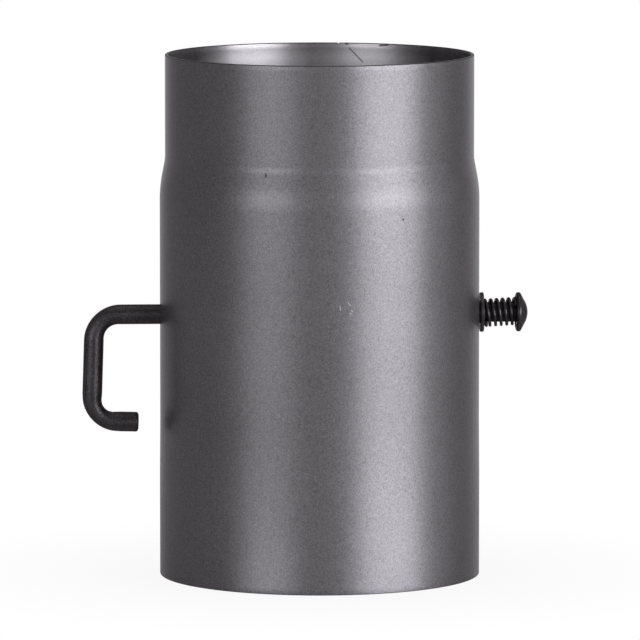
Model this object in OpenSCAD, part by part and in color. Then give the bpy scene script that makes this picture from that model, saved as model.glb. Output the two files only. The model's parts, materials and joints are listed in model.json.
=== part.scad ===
// Stove pipe damper: a short flue pipe section with a turning plate on a bent handle bar.
// Origin at the centre of the lower rim. +Z runs up the pipe, and the bar runs along X.

/* [Pipe] */
// Inside diameter of the pipe
pipe_id = 150; // [130:1:180]
// Thickness of the sheet
pipe_wall = 1.5; // [1:0.1:2]
// Overall height of the section
pipe_h = 250; // [235:1:330]
// Outside diameter of the drawn-in upper end
spigot_od = 147.8; // [126:0.2:177]
// Height of the straight part of the drawn-in end
spigot_h = 50; // [40:1:55]
// Height of the sized lower end that takes the next pipe's spigot
socket_h = 50; // [40:1:51]
// How far the sized lower end stands out beyond the pipe
socket_step = 0.2; // [0.1:0.05:0.4]
// Height over which the sized end runs into the pipe
socket_blend = 5; // [3:0.5:8]

/* [Shoulder] */
// Slope of the shoulder, in degrees from upright
shoulder_slope = 9; // [7:0.5:14]
// Rounding where the shoulder meets the pipe
shoulder_r = 43; // [20:1:60]
// Rounding where the shoulder meets the spigot
neck_r = 6; // [4:0.5:12]

/* [Bar holes] */
// How far the bar's axis lies above half height
shaft_rise = 0.5; // [0:0.1:3]
// Radial play of the bar in the holes
hole_play = 0.08; // [0.04:0.01:0.1]
// How far the collar of the right hole stands out of the wall
collar_h = 0.6; // [0.4:0.1:1]
// Wall of that collar
collar_wall = 0.6; // [0.5:0.1:0.9]

/* [Handle bar] */
// Diameter of the bar
bar_d = 9.5; // [8:0.1:10]
// From the pipe to the leg of the handle, at the bar's axis
handle_reach = 31.4; // [28:0.1:40]
// From the bar's axis to the hook, along the leg
handle_drop = 51.3; // [46:0.1:70]
// Length of the hook, from the leg's axis to its tip
hook_len = 22.5; // [18:0.5:23]
// Radius of the bend beside the pipe, at the bar's centre line
bend_r = 12.3; // [8:0.1:13]
// Radius of the bend at the hook
hook_bend_r = 11.3; // [8:0.1:13]
// Outward lean of the leg, in degrees
leg_lean = 1.8; // [0:0.1:3]
// Droop of the hook, in degrees
hook_droop = 1.5; // [0:0.5:6]
// Rounding of the hook's tip
tip_r = 1.2; // [0.5:0.1:2]

/* [Plate] */
// Gap between the plate's edge and the pipe
plate_gap = 2; // [1.5:0.1:4]
// Thickness of the plate
plate_t = 2; // [1.5:0.1:2.5]
// Inner radius of the sector cut-out
notch_r = 22; // [18:1:30]
// Opening angle of the sector cut-out
notch_angle = 50; // [40:1:60]
// Rounding of the cut-out's inner corners
notch_corner_r = 4; // [3:0.5:6]
// Depth of the flat on the bar that the plate lies on
seat_depth = 1; // [0.6:0.1:1.4]
// Distance of each plate screw from the pipe's axis
screw_x = 38; // [30:1:45]

/* [Fasteners] */
// Nominal diameter of the plate screws
screw_d = 5; // [4:0.5:5]
// Length of a plate screw under its head
screw_len = 16; // [15:1:20]
// Width across flats of screw heads and nuts
hex_af = 8; // [7:0.5:8]
// Height of a screw head
head_h = 3.5; // [3:0.1:4]
// Height of a nut
nut_h = 4; // [3.5:0.1:5]
// Outside diameter of the washers under the nuts
plate_washer_od = 10; // [9:0.5:12]
// Thickness of the washers under the nuts
plate_washer_t = 1; // [0.8:0.1:1.2]

/* [Spring end] */
// Outside diameter of the flat washer against the collar
washer_od = 19; // [16:0.5:22]
// Thickness of that washer
washer_t = 1.6; // [1.2:0.1:2]
// Outside diameter of the spring
spring_od = 13.7; // [13.2:0.1:14.4]
// Diameter of the spring wire
spring_wire = 1.5; // [1.2:0.1:1.6]
// Length of the spring in place
spring_len = 15.9; // [12:0.1:20]
// Turns of the spring that stand apart
spring_free_turns = 5; // [4:1:5]
// How much the spring's cap end sits higher than its washer end
spring_lean = 0.9; // [0:0.1:1]
// How far a turn beside the washer leans, towards the washer above and away from it below
spring_tilt = 0.55; // [0:0.05:0.6]
// Outside diameter of the end cap
cap_od = 19; // [18:0.5:22]
// Height of the cap's dome above its widest line
cap_dome_h = 4.4; // [3.5:0.1:6]
// Rounding of the dome's top
cap_tip_r = 11; // [5:0.5:12]
// Sheet thickness of the cap
cap_t = 0.8; // [0.5:0.05:0.9]
// Sheet thickness of the lock ring in the cap
ring_t = 0.6; // [0.4:0.05:0.6]

/* [Inner stop] */
// Outside diameter of the washer inside the right wall
stop_washer_od = 16; // [14:0.5:18]
// Thickness of that washer
stop_washer_t = 1.5; // [1:0.1:1.8]
// Diameter of the split pin's shank
pin_d = 2.2; // [1.6:0.1:2.4]
// Length of the split pin's bent tips
pin_tip_len = 4; // [3:0.5:5]

/* [Hidden] */
$fn = 96;

// How far a cut runs past the face that it opens
overrun = 1;
// Gap between faces that rub, and round pieces that thread on each other
rub_gap = 0.05;
// How far a stretch of bar reaches into the bends beside it
root = 0.5;
// How much a bend is fatter than the straight bar
bend_swell = 0.02;
// Number of steps in a rounded corner of a turned outline
corner_steps = 6;

// Radii of the pipe
bore_r = pipe_id / 2;
pipe_r = bore_r + pipe_wall;
spigot_r = spigot_od / 2;
socket_r = pipe_r + socket_step;
// Heights along the pipe, from the lower rim up
shaft_z = pipe_h / 2 + shaft_rise;
neck_z = pipe_h - spigot_h;

// The shoulder: which way it leads, how far in, and its two roundings together
shoulder_way = spigot_r > pipe_r ? -1 : 1;
shoulder_side = shoulder_way > 0 ? 0 : 180;
shoulder_in = abs(pipe_r - spigot_r);
blend_r = neck_r + shoulder_r;
// Gap between the shoulder's foot and the washer inside the wall
shoulder_gap = 2;
shoulder_room = neck_z - shaft_z - stop_washer_od / 2 - shoulder_gap;
room_span = norm([shoulder_room, blend_r - shoulder_in]);
// A long step makes the slope steeper, so that it ends above that washer
steep_enough = atan2(shoulder_room, blend_r - shoulder_in) - acos(min(1, blend_r / room_span));
roundings_only = acos(1 - shoulder_in / blend_r);
slope = min(max(shoulder_slope, steep_enough), roundings_only);
slope_len = slope > 0 ? (shoulder_in - blend_r * (1 - cos(slope))) / sin(slope) : 0;
shoulder_z = neck_z - blend_r * sin(slope) - slope_len * cos(slope);

// The bar and what it needs round it
bar_r = bar_d / 2;
hole_r = bar_r + hole_play;
// Radial play of the washers that thread on the bar
washer_play = 0.25;
// Chamfer on the bar's capped end
bar_chamfer = 0.8;
first_turn = 90 - leg_lean;
second_turn = 90 + leg_lean - hook_droop;
first_tangent = bend_r * tan(first_turn / 2);
second_tangent = hook_bend_r * tan(second_turn / 2);

// Stations along X, from the right wall outwards
collar_x = pipe_r + collar_h;
spring_x = collar_x + washer_t + rub_gap;
ring_x = spring_x + spring_len + rub_gap;
// How far the bar's end stands beyond the lock ring
bar_past_ring = 2.6;
bar_end_x = ring_x + ring_t + bar_past_ring;
// Stations inside the right wall
stop_washer_x = sqrt(pow(bore_r, 2) - pow(stop_washer_od / 2, 2)) - rub_gap;
pin_play = 0.15;
pin_x = stop_washer_x - stop_washer_t - pin_play - pin_d / 2;
// Gap between the plate's cut-back ends and the split pin
plate_end_gap = 1.5;
plate_end_x = pin_x - pin_d / 2 - plate_end_gap;

// The plate, on the far side of the bar
plate_r = bore_r - plate_gap;
plate_y = bar_r - seat_depth;
// Half height of the plate's cut-backs at the bar's ends
relief_half = stop_washer_od / 2 + plate_gap;
screw_play = 0.25;
screw_hole_r = screw_d / 2 + screw_play;
hex_r = hex_af / 2 / cos(30);
// Depth of the round seats for the screw heads
head_seat = 0.85;
head_y = -bar_r + head_seat;
hex_chamfer_share = 0.08;

// The spring
spring_r = (spring_od - spring_wire) / 2;
// Turns up to the first top, which touches the washer, and past the last, which touches the lock ring
spring_end_turns = 0.63;
spring_cap_turns = 0.17;
spring_turns = spring_end_turns + spring_free_turns + spring_cap_turns;
spring_touch = spring_wire / 2 + spring_tilt;
free_pitch = (spring_len - spring_wire / 2 - spring_touch) / spring_free_turns;
// The cut end stays clear of the turn beside it by this much
cut_end_gap = 0.06;
cut_end_at = spring_touch + free_pitch * (1 - spring_end_turns) - spring_wire - cut_end_gap;
end_pitch = (spring_touch - cut_end_at) / spring_end_turns;
// Where the wire is cut off beside the washer, in degrees round the bar
spring_start = 90 - 360 * spring_end_turns;
spring_bore_play = spring_r - spring_wire / 2 - bar_r;
spring_shift = min(spring_lean / 2, spring_bore_play - rub_gap);
spring_rings = 28;
wire_sides = 10;

// The cap and its lock ring
cap_r = cap_od / 2;
// Play of the lock ring in the cap's edge, which is curled in round it
ring_play = 0.2;
curl_r = cap_t + ring_t / 2 + ring_play;
curl_end = -115;
curl_centre_r = cap_r - curl_r;
// How far the lock ring's edge stands nearer the dome than its lowest line
ring_dish = 0.6;
cap_edge_x = ring_x + ring_dish + ring_t / 2;
// The dome is a cone with a rounded tip, and this is how far its flank leans from a flat disc
tip_below = cap_tip_r - cap_dome_h;
dome_angle = asin((cap_tip_r - curl_r) / norm([curl_centre_r, tip_below]))
    - atan2(tip_below, curl_centre_r);
ring_r = curl_centre_r + ring_play;
ring_flange = 0.8;
ring_low_share = 0.72;
tooth_count = 8;
tooth_slot_w = 0.9;
tooth_rise = 0.7;

// The split pin
pin_eye_r = 1.9;
pin_hole_play = 0.15;
pin_slit = 0.2;
// How far the legs run past the bar before they bend
pin_past_bar = 1.2;
pin_leg_len = pin_eye_r + pin_d / 2 + bar_d + pin_past_bar;
pin_tip_turn = 50;
pin_tip_share = 0.22;

// Points of an arc in the XY plane, from one angle to another
function arc(centre, r, from, to, steps) =
    [for (i = [0 : steps]) let (a = from + (to - from) * i / steps) centre + r * [cos(a), sin(a)]];

// One face of the pipe's sheet from the lower rim to the upper, inset by t from the outer face
function pipe_face(t) = concat(
    [[socket_r - t, 0], [socket_r - t, socket_h], [pipe_r - t, socket_h + socket_blend]],
    arc([pipe_r - shoulder_way * shoulder_r, shoulder_z], shoulder_r - shoulder_way * t,
        shoulder_side, shoulder_side + shoulder_way * slope, corner_steps),
    arc([spigot_r + shoulder_way * neck_r, neck_z], neck_r + shoulder_way * t,
        180 - shoulder_side + shoulder_way * slope, 180 - shoulder_side, corner_steps),
    [[spigot_r - t, pipe_h]]);

function reversed(points) = [for (i = [len(points) - 1 : -1 : 0]) points[i]];

// Lays what is drawn upright along the bar's axis, at a station x
module on_bar(x) {
    translate([x, 0, shaft_z]) rotate([0, 90, 0]) children();
}

// Stands what is drawn upright across the bar, pointing to the back, at a station x
module through_bar(x, y) {
    translate([x, y, shaft_z]) rotate([-90, 0, 0]) children();
}

module washer(inner_r, outer_r, t) {
    difference() {
        cylinder(r = outer_r, h = t);
        translate([0, 0, -overrun]) cylinder(r = inner_r, h = t + 2 * overrun);
    }
}

// A hexagon with its upper corners turned off
module hexagon(h) {
    chamfer = hex_r * hex_chamfer_share;
    intersection() {
        cylinder(r = hex_r, h = h, $fn = 6);
        rotate_extrude() polygon([[0, 0], [hex_r, 0], [hex_r, h - chamfer],
            [hex_r - 2 * chamfer, h], [0, h]]);
    }
}

module flue_pipe() {
    color("dimgray") difference() {
        union() {
            rotate_extrude($fn = 180) polygon(concat(pipe_face(0), reversed(pipe_face(pipe_wall))));
            on_bar(collar_x - collar_h - pipe_wall / 2)
                cylinder(r = hole_r + collar_wall, h = collar_h + pipe_wall / 2);
        }
        on_bar(-pipe_r - overrun) cylinder(r = hole_r, h = pipe_r + collar_x + 2 * overrun);
    }
}

// A straight stretch of bar, rooted in the bends beside it, with what follows set on its end
module straight(run) {
    translate([0, 0, -root]) cylinder(r = bar_r, h = run + 2 * root);
    translate([0, 0, run]) children();
}

// A bend of the bar, with what follows set on its end
module bend(r, turn) {
    translate([r, 0, 0]) mirror([1, 0, 0]) rotate([90, 0, 0])
        rotate_extrude(angle = turn) translate([r, 0]) circle(r = bar_r + bend_swell);
    translate([r * (1 - cos(turn)), 0, r * sin(turn)]) rotate([0, turn, 0]) children();
}

module hook(run) {
    rotate_extrude() polygon(concat([[0, -root], [bar_r, -root]],
        arc([bar_r - tip_r, run - tip_r], tip_r, 0, 90, corner_steps), [[0, run]]));
}

module capped_end(run) {
    rotate_extrude() polygon([[0, 0], [bar_r - bar_chamfer, 0], [bar_r, bar_chamfer],
        [bar_r, run + root], [0, run + root]]);
    translate([0, 0, run]) children();
}

module handle_shaft() {
    bar_run = bar_end_x + pipe_r + handle_reach - first_tangent;
    seat_len = 2 * plate_end_x + plate_end_gap;
    color("#2b2a2a") difference() {
        on_bar(bar_end_x) rotate([180, 0, 0])
            capped_end(bar_run) bend(bend_r, first_turn)
            straight(handle_drop - first_tangent - second_tangent) bend(hook_bend_r, second_turn)
            hook(hook_len - second_tangent);
        translate([-seat_len / 2, plate_y, shaft_z - bar_r]) cube([seat_len, bar_r, bar_d]);
        for (side = [-1, 1]) {
            through_bar(side * screw_x, -bar_r) cylinder(r = screw_hole_r, h = bar_d);
            through_bar(side * screw_x, -bar_r - overrun)
                cylinder(r = hex_r + screw_play, h = overrun + head_seat);
        }
        translate([pin_x, 0, shaft_z - bar_d]) cylinder(r = pin_d / 2 + pin_hole_play, h = 2 * bar_d);
    }
}

// The sector cut-out, drawn round the bar's axis and opening along +Y
module notch() {
    floor_r = notch_r + notch_corner_r;
    inset = asin(notch_corner_r / floor_r);
    half = notch_angle / 2;
    reach = 2 * plate_r;
    difference() {
        polygon([[0, 0], reach * [sin(half), cos(half)], reach * [0, 1 / cos(half)],
            reach * [-sin(half), cos(half)]]);
        circle(r = floor_r * cos(inset));
    }
    difference() {
        polygon([[0, 0], reach * [sin(half - inset), cos(half - inset)],
            reach * [-sin(half - inset), cos(half - inset)]]);
        circle(r = notch_r);
    }
    for (side = [-1, 1])
        translate(floor_r * [side * sin(half - inset), cos(half - inset)]) circle(r = notch_corner_r);
}

module damper_plate() {
    color("#4a4a4c") translate([0, plate_y + plate_t, shaft_z]) rotate([90, 0, 0]) difference() {
        linear_extrude(plate_t) difference() {
            circle(r = plate_r);
            notch();
            for (side = [-1, 1])
                translate([side * (plate_end_x + plate_r / 2), 0])
                    square([plate_r, 2 * relief_half], center = true);
        }
        for (side = [-1, 1])
            translate([side * screw_x, 0, -overrun])
                cylinder(r = screw_hole_r, h = plate_t + 2 * overrun);
    }
}

module plate_screw(x) {
    color("#8a8c90") through_bar(x, head_y) {
        rotate([180, 0, 0]) hexagon(head_h);
        rotate_extrude() polygon([[0, 0], [screw_d / 2, 0],
            [screw_d / 2, screw_len - bar_chamfer], [screw_d / 2 - bar_chamfer, screw_len],
            [0, screw_len]]);
    }
}

module plate_washer(x) {
    color("#8a8c90") through_bar(x, plate_y + plate_t)
        washer(screw_hole_r, plate_washer_od / 2, plate_washer_t);
}

module plate_nut(x) {
    color("#8a8c90") through_bar(x, plate_y + plate_t + plate_washer_t) difference() {
        hexagon(nut_h);
        translate([0, 0, -overrun])
            cylinder(r = screw_d / 2 + rub_gap, h = nut_h + 2 * overrun);
    }
}

module spring_washer() {
    color("#262525") on_bar(collar_x) washer(bar_r + washer_play, washer_od / 2, washer_t);
}

// Distance along the spring after so many turns: close at the washer, flat against the lock ring
function spring_at(turns) = cut_end_at + end_pitch * min(turns, spring_end_turns)
    + free_pitch * min(max(turns - spring_end_turns, 0), spring_free_turns);

// One ring of points round the wire after so many turns
function wire_ring(turns) =
    let (a = spring_start + 360 * turns, run = spring_at(turns), share = run / spring_len,
        x = run - spring_tilt * (1 - pow(share, 2)) * sin(a),
        lean = spring_shift * (2 * share - 1))
    [for (i = [0 : wire_sides - 1]) let (b = 360 * i / wire_sides,
        r = spring_r + spring_wire / 2 * cos(b))
        [x + spring_wire / 2 * sin(b), r * cos(a), r * sin(a) + lean]];

module friction_spring() {
    rings = ceil(spring_turns * spring_rings);
    points = [for (i = [0 : rings]) each wire_ring(spring_turns * i / rings)];
    sides = [for (i = [0 : rings - 1], j = [0 : wire_sides - 1]) let (k = (j + 1) % wire_sides,
        low = i * wire_sides, high = low + wire_sides)
        [low + j, low + k, high + k, high + j]];
    ends = [[for (j = [wire_sides - 1 : -1 : 0]) j],
        [for (j = [0 : wire_sides - 1]) rings * wire_sides + j]];
    color("#232222") translate([spring_x, 0, shaft_z])
        polyhedron(points = points, faces = concat(sides, ends), convexity = 10);
}

// One face of the cap's sheet from the dome's top to the end of the curl, inset by t
function cap_face(t) = concat(
    arc([0, cap_edge_x - tip_below], cap_tip_r - t, 90, 90 - dome_angle, corner_steps),
    arc([curl_centre_r, cap_edge_x], curl_r - t, 90 - dome_angle, curl_end, 2 * corner_steps));

module end_cap() {
    color("#242323") on_bar(0)
        rotate_extrude() polygon(concat(cap_face(0), reversed(cap_face(cap_t))));
}

// A dished ring with sprung teeth that lean towards the dome
module cap_lock_ring() {
    low_r = ring_r * ring_low_share;
    tooth_tip_r = bar_r + rub_gap;
    color("#8a8c90") on_bar(ring_x) difference() {
        rotate_extrude() polygon([[tooth_tip_r, tooth_rise], [low_r, 0],
            [ring_r - ring_flange, ring_dish], [ring_r, ring_dish],
            [ring_r, ring_dish + ring_t], [ring_r - ring_flange, ring_dish + ring_t],
            [low_r, ring_t], [tooth_tip_r, tooth_rise + ring_t]]);
        for (i = [0 : tooth_count - 1]) rotate([0, 0, 360 * i / tooth_count])
            translate([0, -tooth_slot_w / 2, -overrun])
                cube([low_r, tooth_slot_w, ring_t + tooth_rise + 2 * overrun]);
    }
}

module inner_washer() {
    color("#8a8c90") on_bar(stop_washer_x - stop_washer_t)
        washer(bar_r + washer_play, stop_washer_od / 2, stop_washer_t);
}

// One half-round leg of the split pin, with its tip bent outwards
module pin_leg() {
    tip_r = pin_d * pin_tip_share;
    translate([0, 0, -pin_leg_len]) intersection() {
        cylinder(r = pin_d / 2, h = pin_leg_len);
        translate([-pin_d, pin_slit / 2, 0]) cube([2 * pin_d, pin_d, pin_leg_len]);
    }
    translate([0, pin_slit / 2 + tip_r, tip_r - pin_leg_len]) rotate([180 + pin_tip_turn, 0, 0])
        cylinder(r = tip_r, h = pin_tip_len);
}

module split_pin() {
    color("#8a8c90") translate([pin_x, 0, shaft_z + bar_r + pin_eye_r + pin_d / 2]) {
        rotate([0, 90, 0]) rotate_extrude() translate([pin_eye_r, 0]) circle(r = pin_d / 2);
        pin_leg();
        mirror([0, 1, 0]) pin_leg();
    }
}

flue_pipe();
handle_shaft();
damper_plate();
plate_screw(-screw_x);  // plate_screw_left
plate_screw(screw_x);  // plate_screw_right
plate_washer(-screw_x);  // plate_washer_left
plate_washer(screw_x);  // plate_washer_right
plate_nut(-screw_x);  // plate_nut_left
plate_nut(screw_x);  // plate_nut_right
spring_washer();
friction_spring();
end_cap();
cap_lock_ring();
inner_washer();
split_pin();
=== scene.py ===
"""Stove pipe damper: a flue pipe section with a turning plate on a bent bar, in a plain studio."""

import json
import math

import bmesh
import bpy
from mathutils import Matrix, Vector


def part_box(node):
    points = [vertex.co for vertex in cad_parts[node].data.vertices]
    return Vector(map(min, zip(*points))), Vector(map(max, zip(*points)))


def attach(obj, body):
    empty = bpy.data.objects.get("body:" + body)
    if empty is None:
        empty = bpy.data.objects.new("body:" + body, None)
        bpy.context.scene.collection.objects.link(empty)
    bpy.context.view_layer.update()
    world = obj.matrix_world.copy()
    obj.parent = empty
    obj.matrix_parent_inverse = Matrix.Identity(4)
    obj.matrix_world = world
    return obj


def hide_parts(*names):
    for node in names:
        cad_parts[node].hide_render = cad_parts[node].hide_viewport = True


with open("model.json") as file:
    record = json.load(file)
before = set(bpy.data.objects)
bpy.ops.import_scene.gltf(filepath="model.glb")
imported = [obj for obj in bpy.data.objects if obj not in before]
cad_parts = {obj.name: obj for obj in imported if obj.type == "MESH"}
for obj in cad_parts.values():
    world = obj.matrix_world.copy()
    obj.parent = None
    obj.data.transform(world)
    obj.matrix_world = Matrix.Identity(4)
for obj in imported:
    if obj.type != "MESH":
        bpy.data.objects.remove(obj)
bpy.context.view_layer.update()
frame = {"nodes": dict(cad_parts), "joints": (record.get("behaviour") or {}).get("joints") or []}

# The sheet of the pipe: one steel sheet, rolled and welded lengthwise at the back, and drawn in
# at the top so that it enters the next pipe. It is sprayed all over, inside too, with dark
# heat-proof paint that holds fine metal flakes, and handling has left a few small marks on it.

MM = 0.001


class Value:
    """A number, colour or mesh that a node gives. Operators on a number add Math nodes."""

    def __init__(self, nodes, socket):
        self.nodes = nodes
        self.socket = socket

    def out(self, name):
        return Value(self.nodes, self.socket.node.outputs[name])

    def do(self, operation, *others):
        return self.nodes.maths(operation, self, *others)

    def __add__(self, other):
        return self.do("ADD", other)

    def __radd__(self, other):
        return self.nodes.maths("ADD", other, self)

    def __sub__(self, other):
        return self.do("SUBTRACT", other)

    def __rsub__(self, other):
        return self.nodes.maths("SUBTRACT", other, self)

    def __mul__(self, other):
        return self.do("MULTIPLY", other)

    def __rmul__(self, other):
        return self.nodes.maths("MULTIPLY", other, self)

    def __truediv__(self, other):
        return self.do("DIVIDE", other)

    def __rtruediv__(self, other):
        return self.nodes.maths("DIVIDE", other, self)

    def __mod__(self, other):
        return self.do("FLOORED_MODULO", other)

    def __pow__(self, other):
        return self.do("POWER", other)

    def __neg__(self):
        return self * -1.0

    def kept(self):
        """The number held between 0 and 1."""
        return self.do("MAXIMUM", 0.0).do("MINIMUM", 1.0)


class Nodes:
    """Adds nodes to one tree, with their settings first and then what feeds their sockets."""

    def __init__(self, tree):
        self.tree = tree

    def add(self, kind, settings=None, values=None, out=0):
        node = self.tree.nodes.new(kind)
        for name, setting in (settings or {}).items():
            if name == "stops":
                self.set_stops(node.color_ramp, setting)
            else:
                setattr(node, name, setting)
        for key, value in (values or {}).items():
            self.feed(node.inputs[key], value)
        return Value(self, node.outputs[out])

    def set_stops(self, ramp, stops):
        while len(ramp.elements) < len(stops):
            ramp.elements.new(1.0)
        for element, (position, grey) in zip(ramp.elements, stops):
            element.position = position
            element.color = (grey, grey, grey, 1.0)

    def feed(self, socket, value):
        if isinstance(value, Value):
            self.tree.links.new(value.socket, socket)
        else:
            socket.default_value = value

    def maths(self, operation, *values):
        return self.add("ShaderNodeMath", {"operation": operation}, dict(enumerate(values)))

    def vector(self, x, y, z):
        return self.add("ShaderNodeCombineXYZ", {}, {"X": x, "Y": y, "Z": z})


class Finish(Nodes):
    """A material with one Principled shader, whose patterns lie in the object's own space."""

    def __init__(self, name):
        self.material = bpy.data.materials.new(name)
        self.material.use_nodes = True
        super().__init__(self.material.node_tree)
        self.shader = self.tree.nodes["Principled BSDF"]
        self.place = self.add("ShaderNodeTexCoord", out="Object")
        self.x = self.add("ShaderNodeSeparateXYZ", {}, {"Vector": self.place})
        self.y = self.x.out("Y")
        self.z = self.x.out("Z")

    def noise(self, grain, detail=2.0, seed=0.0, stretch=1.0):
        place = self.place if stretch == 1.0 else self.vector(self.x * stretch, self.y, self.z)
        return self.add("ShaderNodeTexNoise", {"noise_dimensions": "4D"},
                        {"Vector": place, "W": seed, "Scale": 1.0 / grain, "Detail": detail})

    def mix(self, share, first, second):
        return self.add("ShaderNodeMix", {"data_type": "RGBA"}, {0: share, 6: first, 7: second}, out=2)

    def ramp(self, value, *stops):
        return self.add("ShaderNodeValToRGB", {"stops": stops}, {"Fac": value})

    def bump(self, height, distance, below=None):
        feeds = {"Height": height, "Distance": distance}
        if below:
            feeds["Normal"] = below
        return self.add("ShaderNodeBump", {}, feeds)

    def stroke(self, start, end, width, side):
        """A mask of a straight mark seen from the front or, with side 1, on the far wall."""
        run = (Vector(end) - Vector(start)) * MM
        length = max(run.length, 1e-9)
        along_x, along_z = run / length
        from_x = self.x - start[0] * MM
        from_z = self.z - start[1] * MM
        t = (from_x * along_x + from_z * along_z).do("MAXIMUM", 0.0).do("MINIMUM", length)
        off_x = from_x - t * along_x
        off_z = from_z - t * along_z
        off = (off_x * off_x + off_z * off_z).do("SQRT")
        facing = (self.y * side).do("GREATER_THAN", 0.0)
        return (1.5 - off / (width * MM)).kept() * facing

    def look(self, **inputs):
        for name, value in inputs.items():
            self.feed(self.shader.inputs[name.replace("_", " ")], value)
        return self.material


def grey(level, blue=1.0, green=0.98):
    """A grey in linear light, from its level on a screen of 0 to 255."""
    share = level / 255
    linear = share / 12.92 if share <= 0.04045 else ((share + 0.055) / 1.055) ** 2.4
    return (linear, linear * green, linear * blue, 1.0)


def make_paint():
    paint = Finish("flake_paint")
    flakes = paint.noise(0.6 * MM, detail=3.0)
    coarse = paint.noise(1.3 * MM, detail=2.0, seed=3.0)
    cloud = paint.noise(38 * MM, detail=3.0, seed=7.0)
    sparkle = paint.ramp(flakes, (0.3, 0.0), (0.75, 1.0))
    level = sparkle * 0.62 + coarse * 0.38 + (cloud - 0.5) * 0.16
    colour = paint.mix(level, grey(77), grey(147, 1.01))
    facing = paint.add("ShaderNodeSeparateXYZ", {}, {"Vector": paint.place.out("Normal")})
    inside = (paint.x * facing + paint.y * facing.out("Y")).do("LESS_THAN", 0.0)
    # Painted light inside: the paint is lightened as a painted highlight where the lamps' sheen falls on the front
    # and back walls, a little off the middle, and darkened as painted shade towards the sides and just below the rim
    off_seam = paint.x.do("ABSOLUTE")
    below_rim = (0.2 + (pipe_h - paint.z) / (9 * MM)).kept()
    painted_inner_sheen = ((57 * MM - off_seam) / (18 * MM)).kept() * (0.4 + off_seam / (40 * MM)).kept() * below_rim
    colour = paint.mix(inside * (1 - painted_inner_sheen) * 0.35, colour, grey(30))
    colour = paint.mix(inside * painted_inner_sheen * 0.95, colour, paint.mix(sparkle, grey(228), grey(255)))

    # Marks of handling: a long scratch on the far inner wall, short ones in front, chips on the rim; beside them a
    # painted reflection of the hook's tip on the left wall
    scratch = paint.stroke((18.6, 247.4), (25.0, 240.8), 0.32, 1) * inside
    dark_marks = [((17.0, 249.7), (17.5, 249.4), 0.5, 1), ((1.3, 249.9), (2.3, 250.0), 0.5, 1),
                  ((33.1, 249.0), (36.9, 249.4), 0.35, 1), ((35.3, 177.2), (35.5, 177.0), 0.4, -1),
                  ((-29.3, 199.0), (-29.3, 197.5), 0.3, -1)]
    light_marks = [((5.0, 137.2), (5.3, 135.3), 0.26, -1), ((8.9, 138.8), (9.9, 137.4), 0.2, -1),
                   ((10.4, 135.2), (10.9, 134.6), 0.2, -1), ((10.0, 133.7), (10.4, 133.4), 0.22, -1)]
    # Painted reflection: a dark spot on the left wall, where the hook's tip is seen reflected
    painted_hook_reflection = paint.stroke((-74.0, 76.5), (-74.0, 73.8), 1.5, -1)
    dark = scratch + sum_of([paint.stroke(*mark) for mark in dark_marks])
    light = sum_of([paint.stroke(*mark) for mark in light_marks])
    colour = paint.mix(dark.kept() * 0.75, colour, grey(32))
    colour = paint.mix(light.kept() * 0.6, colour, grey(200))
    colour = paint.mix(painted_hook_reflection * 0.3, colour, grey(32))

    # The top face of the upper rim is darker and rougher
    rim = (paint.z - (pipe_h - 0.35 * MM)).do("GREATER_THAN", 0.0)
    colour = paint.mix(rim * 0.75, colour, grey(34))

    # The weld runs up the back, ground nearly flush under the paint
    behind = paint.y.do("GREATER_THAN", 0.0) * (1 - inside)
    seam = (1.4 - (paint.x / (0.8 * MM)).do("ABSOLUTE")).kept() * behind
    ripple = paint.noise(1.5 * MM, seed=11.0)
    skin = paint.bump((coarse * 0.5 + flakes * 0.5) * (1 - inside * 0.35), 0.057 * MM)
    skin = paint.bump(seam * (0.6 + ripple * 0.4), 0.12 * MM, skin)
    roughness = 0.38 - inside * 0.065 + (flakes - 0.5) * 0.12 + dark.kept() * 0.2 + rim * 0.15
    return paint.look(Base_Color=colour, Metallic=0.92, Roughness=roughness, Normal=skin)


def sum_of(masks):
    total = masks[0]
    for mask in masks[1:]:
        total = total + mask
    return total


class Shape(Nodes):
    """A Geometry Nodes tree with named sizes, run once to give a plain mesh."""

    def __init__(self, name, **sizes):
        super().__init__(bpy.data.node_groups.new(name, "GeometryNodeTree"))
        self.sizes = sizes
        face = self.tree.interface
        face.new_socket("Geometry", in_out="OUTPUT", socket_type="NodeSocketGeometry")
        face.new_socket("Geometry", in_out="INPUT", socket_type="NodeSocketGeometry")
        for size, value in sizes.items():
            kind = "NodeSocketInt" if isinstance(value, int) else "NodeSocketFloat"
            face.new_socket(size, in_out="INPUT", socket_type=kind)
        self.inputs = self.tree.nodes.new("NodeGroupInput")

    def size(self, name):
        return Value(self, self.inputs.outputs[name])

    def grow(self, name, geometry, material, seed_mesh=None):
        """Ends the tree, runs it on an object and returns its mesh as a new one."""
        whole = self.add("GeometryNodeRealizeInstances", {}, {"Geometry": geometry})
        dressed = self.add("GeometryNodeSetMaterial", {}, {"Geometry": whole, "Material": material})
        end = self.tree.nodes.new("NodeGroupOutput")
        self.feed(end.inputs["Geometry"], dressed)
        maker = add_object(name + "_maker", seed_mesh or bpy.data.meshes.new(name + "_seed"))
        run = maker.modifiers.new("shape", "NODES")
        run.node_group = self.tree
        for item in self.tree.interface.items_tree:
            if item.in_out == "INPUT" and item.name in self.sizes:
                run[item.identifier] = self.sizes[item.name]
        return settled(maker, name, material)


def add_object(name, mesh):
    piece = bpy.data.objects.new(name, mesh)
    bpy.context.scene.collection.objects.link(piece)
    return piece


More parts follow.
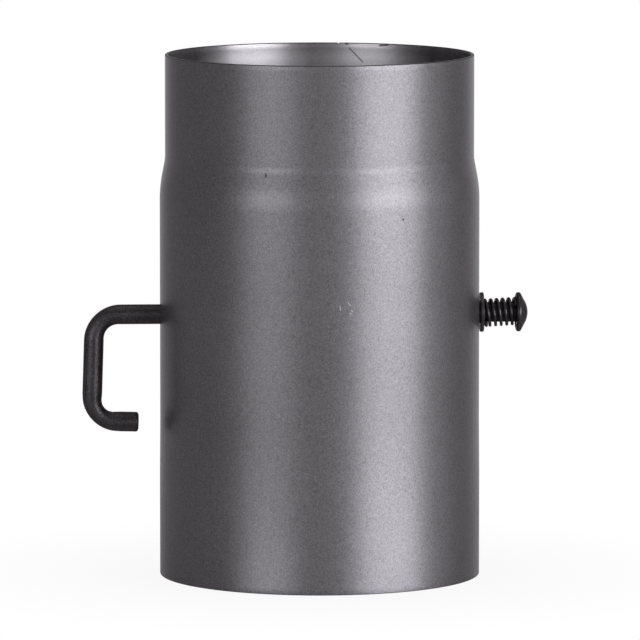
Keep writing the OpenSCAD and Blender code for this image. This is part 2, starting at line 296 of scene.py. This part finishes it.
def settled(maker, name, material, crease=35):
    """The evaluated mesh of an object as a plain piece, closed, facing out and smooth between creases."""
    seen = maker.evaluated_get(bpy.context.evaluated_depsgraph_get())
    mesh = bpy.data.meshes.new_from_object(seen)
    bpy.data.objects.remove(maker)
    mesh.name = name
    work = bmesh.new()
    work.from_mesh(mesh)
    bmesh.ops.remove_doubles(work, verts=work.verts, dist=0.001 * MM)
    bmesh.ops.recalc_face_normals(work, faces=work.faces)
    for face in work.faces:
        face.material_index = 0
    work.to_mesh(mesh)
    work.free()
    mesh.materials.clear()
    mesh.materials.append(material)
    mesh.shade_smooth()
    mesh.set_sharp_from_angle(angle=math.radians(crease))
    return add_object(name, mesh)


def turned(name, outline, material, segments=128, place=Matrix.Identity(4)):
    """A ring or dome turned about the Z axis from a closed outline of (radius, height) points."""
    seed = bpy.data.meshes.new(name + "_outline")
    seed.from_pydata([(r, 0.0, z) for r, z in outline], [], [])
    lathe = Shape(name + "_lathe", Segments=segments, Points=len(outline))
    rows = lathe.size("Points") + 1
    grid = lathe.add("GeometryNodeMeshGrid", {},
                     {"Vertices X": lathe.size("Segments") + 1, "Vertices Y": rows})
    index = lathe.add("GeometryNodeInputIndex")
    spoke = (index / rows).do("FLOOR")
    point = (index % rows) % lathe.size("Points")
    on_outline = lathe.add("GeometryNodeSampleIndex", {"data_type": "FLOAT_VECTOR"},
                           {"Geometry": lathe.size("Geometry"),
                            "Value": lathe.add("GeometryNodeInputPosition"), "Index": point})
    round_axis = lathe.add("ShaderNodeVectorRotate", {"rotation_type": "Z_AXIS"},
                           {"Vector": on_outline, "Angle": spoke * math.tau / lathe.size("Segments")})
    ring = lathe.add("GeometryNodeSetPosition", {}, {"Geometry": grid, "Position": round_axis})
    closed = lathe.add("GeometryNodeMergeByDistance", {}, {"Geometry": ring, "Distance": 0.001 * MM})
    piece = lathe.grow(name, closed, material, seed)
    piece.data.transform(place)
    return piece


def arc(centre, radius, start, end, steps):
    """Points of an arc, from one angle to another in degrees."""
    angles = [math.radians(start + (end - start) * i / steps) for i in range(steps + 1)]
    return [(centre[0] + radius * math.cos(a), centre[1] + radius * math.sin(a)) for a in angles]


def rod(name, radius, start, end, sides=64):
    """A plain round bar between two points, used as a cutter."""
    axis = Vector(end) - Vector(start)
    work = bmesh.new()
    bmesh.ops.create_cone(work, cap_ends=True, segments=sides, radius1=radius, radius2=radius,
                          depth=axis.length)
    turn = axis.to_track_quat("Z", "Y").to_matrix().to_4x4()
    bmesh.ops.transform(work, verts=work.verts,
                        matrix=Matrix.Translation((Vector(start) + Vector(end)) / 2) @ turn)
    mesh = bpy.data.meshes.new(name)
    work.to_mesh(mesh)
    work.free()
    return add_object(name, mesh)


def block(name, low, high):
    """A plain box between two corners, used as a cutter."""
    work = bmesh.new()
    bmesh.ops.create_cube(work, size=1.0)
    low, high = Vector(low), Vector(high)
    bmesh.ops.transform(work, verts=work.verts,
                        matrix=Matrix.Translation((low + high) / 2) @ Matrix.Diagonal((*(high - low), 1)))
    mesh = bpy.data.meshes.new(name)
    work.to_mesh(mesh)
    work.free()
    return add_object(name, mesh)


def worked(piece, material, joined=(), cut=(), common=()):
    """The piece with some bodies joined on, some cut away and some kept in common."""
    name = piece.name
    piece.name = name + "_blank"
    for tools, way in ((joined, "UNION"), (cut, "DIFFERENCE"), (common, "INTERSECT")):
        for tool in tools:
            step = piece.modifiers.new(way.lower(), "BOOLEAN")
            step.operation = way
            step.solver = "EXACT"
            step.object = tool
    made = settled(piece, name, material)
    for tool in (*joined, *cut, *common):
        bpy.data.objects.remove(tool)
    return made


wall = 1.5 * MM
bore_r = 75 * MM
pipe_r = bore_r + wall
spigot_r = 73.9 * MM
socket_r = pipe_r + 0.2 * MM
socket_h = 50 * MM
socket_blend = 25 * MM
pipe_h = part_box("flue_pipe")[1].z
neck_z = pipe_h - 47.6 * MM
even = 3 * MM
shaft_z = frame["joints"][0]["pos_m"][2]
shoulder_slope = 10.7
shoulder_r = 64.6 * MM
neck_r = 22 * MM
sheet_edge = 0.4 * MM
hole_r = 4.83 * MM
collar_r = 5.43 * MM
collar_x = pipe_r + 0.6 * MM


def pipe_face(inset):
    """The outer face of the sheet from the lower rim up, or the inner one with the wall as inset."""
    slope = math.radians(shoulder_slope)
    both = shoulder_r + neck_r
    slope_len = (pipe_r - spigot_r - both * (1 - math.cos(slope))) / math.sin(slope)
    shoulder_z = neck_z - both * math.sin(slope) - slope_len * math.cos(slope)
    side = -1 if inset else 1
    low = (socket_r - inset - side * sheet_edge, sheet_edge)
    high = (spigot_r - inset - side * sheet_edge, pipe_h - sheet_edge)
    start = 0 if inset == 0 else 180
    return [*arc(low, sheet_edge, start - side * 90, start, 4),
            (socket_r - inset, even), (socket_r - inset, socket_h - even), (socket_r - inset, socket_h),
            (pipe_r - inset, socket_h + socket_blend), (pipe_r - inset, socket_h + socket_blend + even),
            *arc((pipe_r - shoulder_r, shoulder_z), shoulder_r - inset, 0, shoulder_slope, 14),
            *arc((spigot_r + neck_r, neck_z), neck_r + inset, 180 + shoulder_slope, 180, 10),
            (spigot_r - inset, pipe_h - even),
            *arc(high, sheet_edge, start, start + side * 90, 4)]


paint = make_paint()
sheet = turned("pipe_sheet", pipe_face(0) + pipe_face(wall)[::-1], paint, segments=288)
collar_outline = [(hole_r - 0.4 * MM, pipe_r - 1.0 * MM), (collar_r + 1.5 * MM, pipe_r - 1.0 * MM),
                  *arc((collar_r + 0.9 * MM, pipe_r + 0.2 * MM), 0.9 * MM, 270, 180, 5),
                  *arc((collar_r - 0.2 * MM, collar_x - 0.2 * MM), 0.2 * MM, 0, 90, 3),
                  (hole_r - 0.4 * MM, collar_x)]
along_bar = Matrix.Translation((0, 0, shaft_z)) @ Matrix.Rotation(math.pi / 2, 4, "Y")
collar = turned("hole_collar", collar_outline, paint, 96, along_bar)
bar_holes = rod("bar_holes", hole_r, (-2 * pipe_r, 0, shaft_z), (2 * pipe_r, 0, shaft_z), 96)
rim_nick = rod("rim_nick", 0.45 * MM, (13.5 * MM, 0, pipe_h), (13.5 * MM, 2 * pipe_r, pipe_h), 12)
sheet = worked(sheet, paint, joined=[collar], cut=[bar_holes, rim_nick])
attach(sheet, "pipe")
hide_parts("flue_pipe")

# The bar is handle and axle in one: a round steel bar bent cold at two places, with a flat where
# the plate is screwed on, round seats for the screw heads and a cross hole for the split pin.
# The bends are drawn a little thin. It has a black coat with a fine, slightly rough grain.


def make_coat():
    coat = Finish("black_coat")
    grain = coat.noise(0.8 * MM, detail=3.0, seed=2.0)
    patch = coat.noise(9 * MM, detail=2.0, seed=5.0)
    level = coat.ramp(grain * 0.75 + patch * 0.25, (0.3, 0.0), (0.7, 1.0))
    colour = coat.mix(level, grey(40, 0.97, 0.93), grey(90, 0.97, 0.93))
    # Painted shade: the coat is darkened where the bar runs inside the spring and the cap
    colour = coat.mix((coat.x - 79 * MM).do("GREATER_THAN", 0.0) * 0.75, colour, grey(20))
    return coat.look(Base_Color=colour, Metallic=0.75, Roughness=0.36 + (patch - 0.5) * 0.15,
                     Specular_Tint=(0.5, 0.47, 0.48, 1.0), Normal=coat.bump(grain, 0.16 * MM))


bar_r = 4.75 * MM
bar_end_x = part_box("handle_shaft")[1].x
handle_x = -(pipe_r + 31.4 * MM)
handle_drop = 51.3 * MM
hook_len = 22.5 * MM
bend_r = 12.3 * MM
hook_bend_r = 11.3 * MM
leg_lean = math.radians(1.8)
hook_droop = math.radians(1.5)
bar_tip_r = 1.2 * MM
plate_y = bar_r - 1 * MM
seat_half = 69.92 * MM
screw_x = 38 * MM
screw_hole_r = 2.75 * MM
head_room_r = 4.87 * MM
head_y = -bar_r + 0.85 * MM
pin_x = 71.77 * MM
coat = make_coat()

top_corner = Vector((handle_x, 0, shaft_z))
low_corner = top_corner + handle_drop * Vector((-math.sin(leg_lean), 0, -math.cos(leg_lean)))
hook_tip = low_corner + hook_len * Vector((math.cos(hook_droop), 0, -math.sin(hook_droop)))
first_turn = math.pi / 2 - leg_lean
second_turn = math.pi / 2 + leg_lean - hook_droop
first_tangent = bend_r * math.tan(first_turn / 2)
second_tangent = hook_bend_r * math.tan(second_turn / 2)
first_middle = bar_end_x - handle_x - first_tangent + bend_r * first_turn / 2
second_middle = (first_middle + bend_r * first_turn / 2 + handle_drop - first_tangent - second_tangent
                 + hook_bend_r * second_turn / 2)
corners = bpy.data.meshes.new("bar_corners")
corners.from_pydata([(bar_end_x, 0, shaft_z), top_corner, low_corner, hook_tip],
                    [(0, 1), (1, 2), (2, 3)], [])
bend = Shape("bent_bar_sweep", Bend=bend_r, Hook_bend=hook_bend_r, Thickness=bar_r, Tip=bar_tip_r,
             Step=0.4 * MM, First_middle=first_middle, Second_middle=second_middle, First_half=11 * MM,
             Second_half=12 * MM, First_loss=0.3 * MM, Second_loss=0.62 * MM)
line = bend.add("GeometryNodeMeshToCurve", {}, {"Mesh": bend.size("Geometry")})
at_hook = bend.add("GeometryNodeInputIndex").do("GREATER_THAN", 1.5)
radius = bend.size("Bend") + (bend.size("Hook_bend") - bend.size("Bend")) * at_hook
bent = bend.add("GeometryNodeFilletCurve", {"mode": "POLY"}, {"Curve": line, "Radius": radius, "Count": 40})
steps = bend.add("GeometryNodeResampleCurve", {"mode": "LENGTH"},
                 {"Curve": bent, "Length": bend.size("Step")})
along = bend.add("GeometryNodeSplineParameter", out="Length")
total = bend.add("GeometryNodeSplineLength")
to_end = along.do("MINIMUM", total - along).do("MINIMUM", bend.size("Tip"))
short = bend.size("Tip") - to_end
rounded = (bend.size("Tip") * bend.size("Tip") - short * short).do("MAXIMUM", 0.0).do("SQRT")
drawn_thin = 0.0
for which in ("First", "Second"):
    off_middle = (along - bend.size(which + "_middle")) / bend.size(which + "_half")
    bell = (1 - off_middle * off_middle).do("MAXIMUM", 0.0)
    drawn_thin = drawn_thin + bend.size(which + "_loss") * bell * bell
swollen = bend.size("Thickness") - bend.size("Tip") + rounded - drawn_thin
ring = bend.add("GeometryNodeCurvePrimitiveCircle", {}, {"Resolution": 56, "Radius": 1.0})
swept = bend.add("GeometryNodeCurveToMesh", {},
                 {"Curve": steps, "Profile Curve": ring, "Scale": swollen, "Fill Caps": True})
bar = bend.grow("bent_bar", swept, coat, corners)
cuts = [block("plate_seat", (-seat_half, plate_y, shaft_z - 2 * bar_r), (seat_half, 2 * bar_r, shaft_z + 2 * bar_r)),
        rod("pin_hole", 1.25 * MM, (pin_x, 0, shaft_z - 2 * bar_r), (pin_x, 0, shaft_z + 2 * bar_r), 32)]
for side in (-1, 1):
    cuts.append(rod("screw_hole", screw_hole_r, (side * screw_x, -2 * bar_r, shaft_z),
                    (side * screw_x, 2 * bar_r, shaft_z), 40))
    cuts.append(rod("head_seat", head_room_r, (side * screw_x, -2 * bar_r, shaft_z),
                    (side * screw_x, head_y, shaft_z), 56))
bar = worked(bar, coat, cut=cuts)
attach(bar, "damper")
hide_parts("handle_shaft")

# The damper plate: a flat disc cut from dark rolled steel sheet, with a sector cut-out that keeps
# some draught when it is shut and cut-backs beside the walls. Two screws clamp it to the bar's flat.


def make_rolled_steel():
    steel = Finish("rolled_steel")
    streaks = steel.noise(1.2 * MM, seed=4.0, stretch=0.04)
    mottle = steel.noise(7 * MM, detail=4.0, seed=6.0)
    level = streaks * 0.35 + mottle * 0.65
    colour = steel.mix(steel.ramp(level, (0.3, 0.0), (0.72, 1.0)), grey(70, 1.08), grey(132, 1.03))
    skin = steel.bump(steel.noise(0.6 * MM, seed=8.0) * 0.6 + streaks * 0.4, 0.05 * MM)
    return steel.look(Base_Color=colour, Metallic=0.9, Roughness=0.36 + mottle * 0.24, Normal=skin)


plate_r = bore_r - 2 * MM
plate_t = 2 * MM
plate_bevel = 0.2 * MM
relief_x = 69.17 * MM
relief_half = 10 * MM
notch_r = 22 * MM
notch_half = 25
notch_corner = 4 * MM
corner_reach = notch_r + notch_corner
corner_inset = math.degrees(math.asin(notch_corner / corner_reach))
floor_half = notch_half - corner_inset
relief_angle = math.degrees(math.asin(relief_half / plate_r))
right_corner = (corner_reach * math.sin(math.radians(floor_half)),
                corner_reach * math.cos(math.radians(floor_half)))
left_corner = (-right_corner[0], right_corner[1])
centre = (0, 0)
plate_outline = [*arc(centre, plate_r, 90 - notch_half, relief_angle, 60),
                 (relief_x, relief_half), (relief_x, -relief_half),
                 *arc(centre, plate_r, -relief_angle, relief_angle - 180, 160),
                 (-relief_x, -relief_half), (-relief_x, relief_half),
                 *arc(centre, plate_r, 180 - relief_angle, 90 + notch_half, 60),
                 *arc(left_corner, notch_corner, 180 + notch_half, 270 + floor_half, 10),
                 *arc(centre, notch_r, 90 + floor_half, 90 - floor_half, 20),
                 *arc(right_corner, notch_corner, -90 - floor_half, -notch_half, 10)]
screw_holes = [arc((side * screw_x, 0), screw_hole_r, 0, 351, 39) for side in (-1, 1)]
drawn = bpy.data.curves.new("plate_outline", "CURVE")
drawn.dimensions = "2D"
drawn.fill_mode = "BOTH"
drawn.extrude = plate_t / 2 - plate_bevel
drawn.bevel_depth = plate_bevel
drawn.bevel_resolution = 2
drawn.offset = -plate_bevel
for outline in (plate_outline, *screw_holes):
    spline = drawn.splines.new("POLY")
    spline.points.add(len(outline) - 1)
    for point, (across, up) in zip(spline.points, outline):
        point.co = (across, up, 0, 1)
    spline.use_cyclic_u = True
rolled_steel = make_rolled_steel()
plate = settled(add_object("plate_drawing", drawn), "plate_disc", rolled_steel)
plate.data.transform(Matrix.Translation((0, plate_y + plate_t / 2, shaft_z))
                     @ Matrix.Rotation(math.pi / 2, 4, "X"))
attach(plate, "damper")
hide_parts("damper_plate")

# The plate's fasteners: two zinc-plated hexagon screws, M5 by 16, that pass through bar and plate
# from the front, each with a plain washer and a nut behind the plate. The threads are rolled.


def make_zinc():
    zinc = Finish("zinc_plate")
    cloud = zinc.noise(3.5 * MM, detail=3.0, seed=9.0)
    pits = zinc.noise(0.35 * MM, detail=2.0, seed=10.0)
    colour = zinc.mix(cloud, (0.42, 0.43, 0.45, 1.0), (0.62, 0.61, 0.58, 1.0))
    return zinc.look(Base_Color=colour, Metallic=1.0, Roughness=0.27 + cloud * 0.2 + pits * 0.08,
                     Normal=zinc.bump(pits, 0.012 * MM))


def through_bar(x, y):
    """The place of what is turned upright and then laid across the bar, pointing to the back."""
    return Matrix.Translation((x, y, shaft_z)) @ Matrix.Rotation(-math.pi / 2, 4, "X")


def threaded_rod(name, length, place, material):
    """A screw's shank: a grid rolled round its axis, whose radius follows the thread's helix."""
    rings = round(thread_rings * length / thread_pitch)
    shank = Shape(name + "_thread", Length=length, Pitch=thread_pitch, Crest=screw_r, Root=thread_root_r,
                  Chamfer=screw_chamfer, Rings=rings, Sides=40)
    sides = shank.size("Sides")
    grid = shank.add("GeometryNodeMeshGrid", {},
                     {"Vertices X": shank.size("Rings") + 3, "Vertices Y": sides + 1})
    index = shank.add("GeometryNodeInputIndex")
    ring = (index / (sides + 1)).do("FLOOR")
    turn = (index % (sides + 1)) / sides
    share = ((ring - 1) / shank.size("Rings")).kept()
    height = share * shank.size("Length")
    ridge = 1 - ((height / shank.size("Pitch") - turn) % 1.0 * 2 - 1).do("ABSOLUTE")
    radius = shank.size("Root") + (shank.size("Crest") - shank.size("Root")) * (ridge * 1.15).kept()
    left = shank.size("Length") - height + shank.size("Crest") - shank.size("Chamfer")
    radius = radius.do("MINIMUM", left)
    inner = ring.do("GREATER_THAN", 0.5) * ring.do("LESS_THAN", shank.size("Rings") + 1.5)
    angle = turn * math.tau
    spot = shank.vector(radius * inner * angle.do("COSINE"), radius * inner * angle.do("SINE"), height)
    rolled = shank.add("GeometryNodeSetPosition", {}, {"Geometry": grid, "Position": spot})
    closed = shank.add("GeometryNodeMergeByDistance", {}, {"Geometry": rolled, "Distance": 0.001 * MM})
    made = shank.grow(name, closed, material)
    made.data.transform(place)
    return made


def dressed_ring(name, inner_r, outer_r, t, edge, place, material, segments=96):
    """A flat washer whose four edges are rounded off by the punch."""
    outline = [*arc((outer_r - edge, edge), edge, -90, 0, 4), *arc((outer_r - edge, t - edge), edge, 0, 90, 4),
               *arc((inner_r + edge, t - edge), edge, 90, 180, 4), *arc((inner_r + edge, edge), edge, 180, 270, 4)]
    return turned(name, outline, material, segments, place)


screw_r = 2.5 * MM
screw_len = 16 * MM
screw_chamfer = 0.8 * MM
thread_pitch = 0.8 * MM
thread_root_r = 2.08 * MM
thread_rings = 12
hex_r = 4 * MM / math.cos(math.radians(30))
hex_chamfer = 0.37 * MM
head_h = 3.5 * MM
nut_h = 4 * MM
nut_bore_r = screw_r + 0.05 * MM
plate_washer_r = 5 * MM
plate_washer_t = 1 * MM
zinc = make_zinc()
top_blank = [(0, -0.1 * MM), (hex_r + MM, -0.1 * MM), (hex_r + MM, head_h - hex_chamfer - 0.58 * MM),
             (hex_r - 2 * hex_chamfer, head_h), (0, head_h)]
for side, which in ((-1, "left"), (1, "right")):
    x = side * screw_x
    head_place = through_bar(x, head_y) @ Matrix.Rotation(math.pi, 4, "X")
    head = turned("hex_screw_" + which, [(0, 0), (hex_r, 0), (hex_r, head_h), (0, head_h)], zinc, 6, head_place)
    turned_top = turned("head_chamfer", top_blank, zinc, 96, head_place)
    head = worked(head, zinc, common=[turned_top])
    shank = threaded_rod("screw_shank", screw_len, through_bar(x, head_y), zinc)
    screw = worked(head, zinc, joined=[shank])
    washer = dressed_ring("flat_washer_" + which, screw_hole_r, plate_washer_r, plate_washer_t, 0.12 * MM,
                          through_bar(x, plate_y + plate_t), zinc)
    nut_place = through_bar(x, plate_y + plate_t + plate_washer_t)
    nut = turned("hex_nut_" + which, [(0, 0), (hex_r, 0), (hex_r, nut_h), (0, nut_h)], zinc, 6, nut_place)
    countersink = 0.35 * MM
    ring_blank = [(nut_bore_r, countersink), (nut_bore_r + countersink, 0), (hex_r - hex_chamfer, 0),
                  (hex_r + MM, 0.95 * MM), (hex_r + MM, nut_h - 0.95 * MM), (hex_r - 2 * hex_chamfer, nut_h),
                  (nut_bore_r + countersink, nut_h), (nut_bore_r, nut_h - countersink)]
    nut = worked(nut, zinc, common=[turned("nut_blank", ring_blank, zinc, 96, nut_place)])
    for piece, node in ((screw, "plate_screw_"), (washer, "plate_washer_"), (nut, "plate_nut_")):
        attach(piece, "damper")
        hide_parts(node + which)

# The washer and the spring on the bar's right end, both of blackened steel. The spring is coiled
# from round wire with its ends cut off plainly, and presses the flat washer against the collar.


def make_black_steel():
    black = Finish("blackened_steel")
    grain = black.noise(0.45 * MM, detail=3.0, seed=12.0)
    worn = black.noise(4 * MM, detail=3.0, seed=13.0)
    colour = black.mix(grain * 0.5 + worn * 0.5, grey(52, 0.98, 0.93), grey(92, 0.98, 0.93))
    return black.look(Base_Color=colour, Metallic=0.8, Roughness=0.22 + worn * 0.14,
                      Specular_Tint=(0.4, 0.38, 0.39, 1.0), Normal=black.bump(grain, 0.035 * MM))


black_steel = make_black_steel()
washer_low, washer_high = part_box("spring_washer")
washer_ring = dressed_ring("flat_washer_black", bar_r + 0.25 * MM, 9.5 * MM, washer_high.x - washer_low.x,
                           0.12 * MM, Matrix.Translation((washer_low.x, 0, 0)) @ along_bar, black_steel, 128)
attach(washer_ring, "pipe")
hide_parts("spring_washer")

wire_r = 0.75 * MM
coil_r = 6.1 * MM
spring_len = 15.9 * MM
spring_x = washer_high.x + 0.05 * MM
end_turns = 0.63
free_turns = 5.0
last_turns = 0.17
tilt = 0.55 * MM
shift = 0.45 * MM
first_top = wire_r + tilt
free_pitch = (spring_len - wire_r - first_top) / free_turns
cut_end_at = first_top + free_pitch * (1 - end_turns) - 2 * wire_r - 0.06 * MM
end_pitch = (first_top - cut_end_at) / end_turns

coil = Shape("spring_coil", Wire=wire_r, Radius=coil_r, Length=spring_len, Turns=end_turns + free_turns + last_turns,
             End=end_turns, Free=free_turns, End_pitch=end_pitch, Free_pitch=free_pitch, Start=cut_end_at,
             Tilt=tilt, Shift=shift, Points=420)
count = coil.size("Points")
straight = coil.add("GeometryNodeMeshLine", {}, {"Count": count})
turns = coil.add("GeometryNodeInputIndex") / (count - 1) * coil.size("Turns")
angle = (turns - coil.size("End") + 0.25) * math.tau
run = (coil.size("Start") + coil.size("End_pitch") * turns.do("MINIMUM", coil.size("End"))
       + coil.size("Free_pitch") * (turns - coil.size("End")).do("MAXIMUM", 0.0).do("MINIMUM", coil.size("Free")))
share = run / coil.size("Length")
leaned = run - coil.size("Tilt") * (1 - share * share) * angle.do("SINE")
raised = coil.size("Radius") * angle.do("SINE") + coil.size("Shift") * (share * 2 - 1)
spot = coil.vector(leaned, coil.size("Radius") * angle.do("COSINE"), raised)
coiled = coil.add("GeometryNodeSetPosition", {}, {"Geometry": straight, "Position": spot})
path = coil.add("GeometryNodeMeshToCurve", {}, {"Mesh": coiled})
section = coil.add("GeometryNodeCurvePrimitiveCircle", {}, {"Resolution": 20, "Radius": coil.size("Wire")})
wire = coil.add("GeometryNodeCurveToMesh", {}, {"Curve": path, "Profile Curve": section, "Fill Caps": True})
spring = coil.grow("coil_spring", wire, black_steel)
spring.data.transform(Matrix.Translation((spring_x, 0, shaft_z)))
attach(spring, "damper")
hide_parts("friction_spring")

# The push-on cap: a low dome pressed from thin steel and blackened, its edge curled in round a
# sprung toothed ring. The ring's teeth grip the bar, and the spring's last turn rests on it.

cap_r = 9.5 * MM
cap_t = 0.8 * MM
curl_r = 1.3 * MM
curl_end = -115
tip_r = 11 * MM
cap_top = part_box("end_cap")[1].x
cap_dome_h = 4.4 * MM
curl_centre = cap_r - curl_r
edge_x = cap_top - cap_dome_h
tip_below = tip_r - cap_dome_h
flank = math.degrees(math.asin((tip_r - curl_r) / math.hypot(curl_centre, tip_below))
                     - math.atan2(tip_below, curl_centre))


def cap_face(inset):
    """One face of the cap's sheet from the dome's top to the end of the curl."""
    return [*arc((0, edge_x - tip_below), tip_r - inset, 90, 90 - flank, 10),
            *arc((curl_centre, edge_x), curl_r - inset, 90 - flank, curl_end, 20)]


cap = turned("domed_cap", cap_face(0) + cap_face(cap_t)[::-1], black_steel, 160, along_bar)
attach(cap, "damper")
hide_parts("end_cap")
frame["nodes"]["cap_lock_ring"].material_slots[0].material = zinc

# The stop inside the right wall: a zinc-plated flat washer and a split pin through the bar, which
# take the pull of the spring. The pin's tips are bent apart behind the bar.

stop_low, stop_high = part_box("inner_washer")
stop_washer = dressed_ring("stop_washer", bar_r + 0.25 * MM, 8 * MM, stop_high.x - stop_low.x, 0.2 * MM,
                           Matrix.Translation((stop_low.x, 0, 0)) @ along_bar, zinc)
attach(stop_washer, "damper")
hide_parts("inner_washer")
frame["nodes"]["split_pin"].material_slots[0].material = zinc

# The studio: a pale table that keeps the object's shadow, white air behind it, two tall soft
# lamps left and right of the camera, a wide weak one overhead, and a long lens looking slightly down.


def make_table():
    table = Finish("pale_table")
    camera_ray = table.add("ShaderNodeLightPath", out="Is Camera Ray")
    mirrored = camera_ray.out("Is Glossy Ray") + camera_ray.out("Is Transmission Ray")
    shadow_ray = camera_ray.out("Is Shadow Ray")
    off_axis = (table.x * table.x + table.y * table.y).do("SQRT")
    near = ((shadow_end - off_axis) / (shadow_end - shadow_start)).kept()
    lit = table.look(Base_Color=(0.86, 0.86, 0.86, 1.0), Roughness=0.9)
    mirrored_near = mirrored * ((mirror_end - off_axis) / (mirror_end - mirror_start)).kept()
    glow = table.add("ShaderNodeEmission", {}, {"Color": (1, 1, 1, 1), "Strength": 1.0})
    white = table.add("ShaderNodeMixShader", {}, {"Fac": camera_ray * (1 - near * 0.08)})
    table.feed(white.socket.node.inputs[1], Value(table, table.shader.outputs[0]))
    table.feed(white.socket.node.inputs[2], glow)
    clear = table.add("ShaderNodeBsdfTransparent")
    gloss = table.add("ShaderNodeBsdfGlossy", {}, {"Color": (0.8, 0.8, 0.8, 1.0), "Roughness": 0.15})
    polished = table.add("ShaderNodeMixShader", {}, {"Fac": mirrored_near * 0.7})
    table.feed(polished.socket.node.inputs[1], white)
    table.feed(polished.socket.node.inputs[2], gloss)
    passed = (shadow_ray + (mirrored - mirrored_near) * 0.8).kept()
    mixed = table.add("ShaderNodeMixShader", {}, {"Fac": passed})
    table.feed(mixed.socket.node.inputs[1], polished)
    table.feed(mixed.socket.node.inputs[2], clear)
    table.feed(table.tree.nodes["Material Output"].inputs["Surface"], mixed)
    return lit


def add_lamp(name, azimuth, half_angle, low, high, glow, colour=(1, 1, 1)):
    """A far soft lamp at an angle round the object, which spans some degrees across and up."""
    tangent = [math.tan(math.radians(angle)) for angle in (half_angle, low, high)]
    width = 2 * lamp_distance * tangent[0]
    tall = lamp_distance * (tangent[2] - tangent[1])
    height = shaft_z + lamp_distance * (tangent[2] + tangent[1]) / 2
    light = bpy.data.lights.new(name, "AREA")
    light.shape = "RECTANGLE"
    light.size = width
    light.size_y = tall
    light.energy = glow * math.pi * width * tall
    light.color = colour
    lamp = bpy.data.objects.new(name, light)
    lamp.visible_camera = False
    turn = math.radians(azimuth)
    lamp.location = (lamp_distance * math.sin(turn), -lamp_distance * math.cos(turn), height)
    to_axis = Vector((0, 0, lamp.location.z)) - lamp.location
    lamp.rotation_euler = to_axis.to_track_quat("-Z", "Y").to_euler()
    bpy.context.scene.collection.objects.link(lamp)
    return lamp


shadow_start = 0.08
shadow_end = 0.20
mirror_start = 0.25
mirror_end = 0.45
table_mesh = bpy.data.meshes.new("table_top")
spread = 1.6
table_mesh.from_pydata([(-spread, -spread, 0), (spread, -spread, 0), (spread, spread, 0), (-spread, spread, 0)],
                       [], [(0, 1, 2, 3)])
table_mesh.materials.append(make_table())
table_top = add_object("table_top", table_mesh)

world = bpy.data.worlds.new("studio_air")
bpy.context.scene.world = world
world.use_nodes = True
air = Nodes(world.node_tree)
toward = air.add("ShaderNodeTexCoord", out="Generated")
aside = air.add("ShaderNodeSeparateXYZ", {}, {"Vector": toward})
behind = aside.out("Y") + aside * 0.12
paths = air.add("ShaderNodeLightPath", out="Is Camera Ray")
mirrored = paths.out("Is Glossy Ray") + paths.out("Is Transmission Ray")
white_wall = ((behind - 0.8) * 5.0).kept()
seen_white = (paths + mirrored * white_wall).kept()
room = air.add("ShaderNodeMix", {"data_type": "RGBA"},
               {0: seen_white, 6: (0.285, 0.268, 0.281, 1.0), 7: (1, 1, 1, 1)}, out=2)
air.feed(world.node_tree.nodes["Background"].inputs["Color"], room)

lamp_distance = 12
cool = (1.0, 0.995, 1.05)
add_lamp("right_lamp", 48.5, 23.5, -9, 20, 5.3, cool)
add_lamp("left_lamp", -40, 17.5, -3.5, 13.5, 3.2, cool)
add_lamp("front_lamp", 2, 14, -10, 20, 0.34, cool)
add_lamp("flank_lamp", 92, 9, -9, 20, 0.55, cool)
overhead = bpy.data.objects.new("overhead_lamp", bpy.data.lights.new("overhead_lamp", "AREA"))
overhead.data.size = 1.4
overhead.data.energy = 4
overhead.location = (0, 0, 1.9)
overhead.visible_camera = False
bpy.context.scene.collection.objects.link(overhead)

camera_data = bpy.data.cameras.new("camera")
camera_data.lens = 428.2
camera_data.sensor_width = 36
camera_data.clip_end = 60
camera = bpy.data.objects.new("camera", camera_data)
bpy.context.scene.collection.objects.link(camera)
bpy.context.scene.camera = camera
aim = Vector((0.0002, 0, 0.12214))
look_down = math.radians(6.42)
swing = math.radians(3.4)
stand_off = 3.65
camera.location = aim + stand_off * Vector((-math.sin(swing) * math.cos(look_down),
                                            -math.cos(swing) * math.cos(look_down), math.sin(look_down)))
camera.rotation_euler = (aim - camera.location).to_track_quat("-Z", "Y").to_euler()

bpy.context.scene.view_settings.view_transform = "Standard"
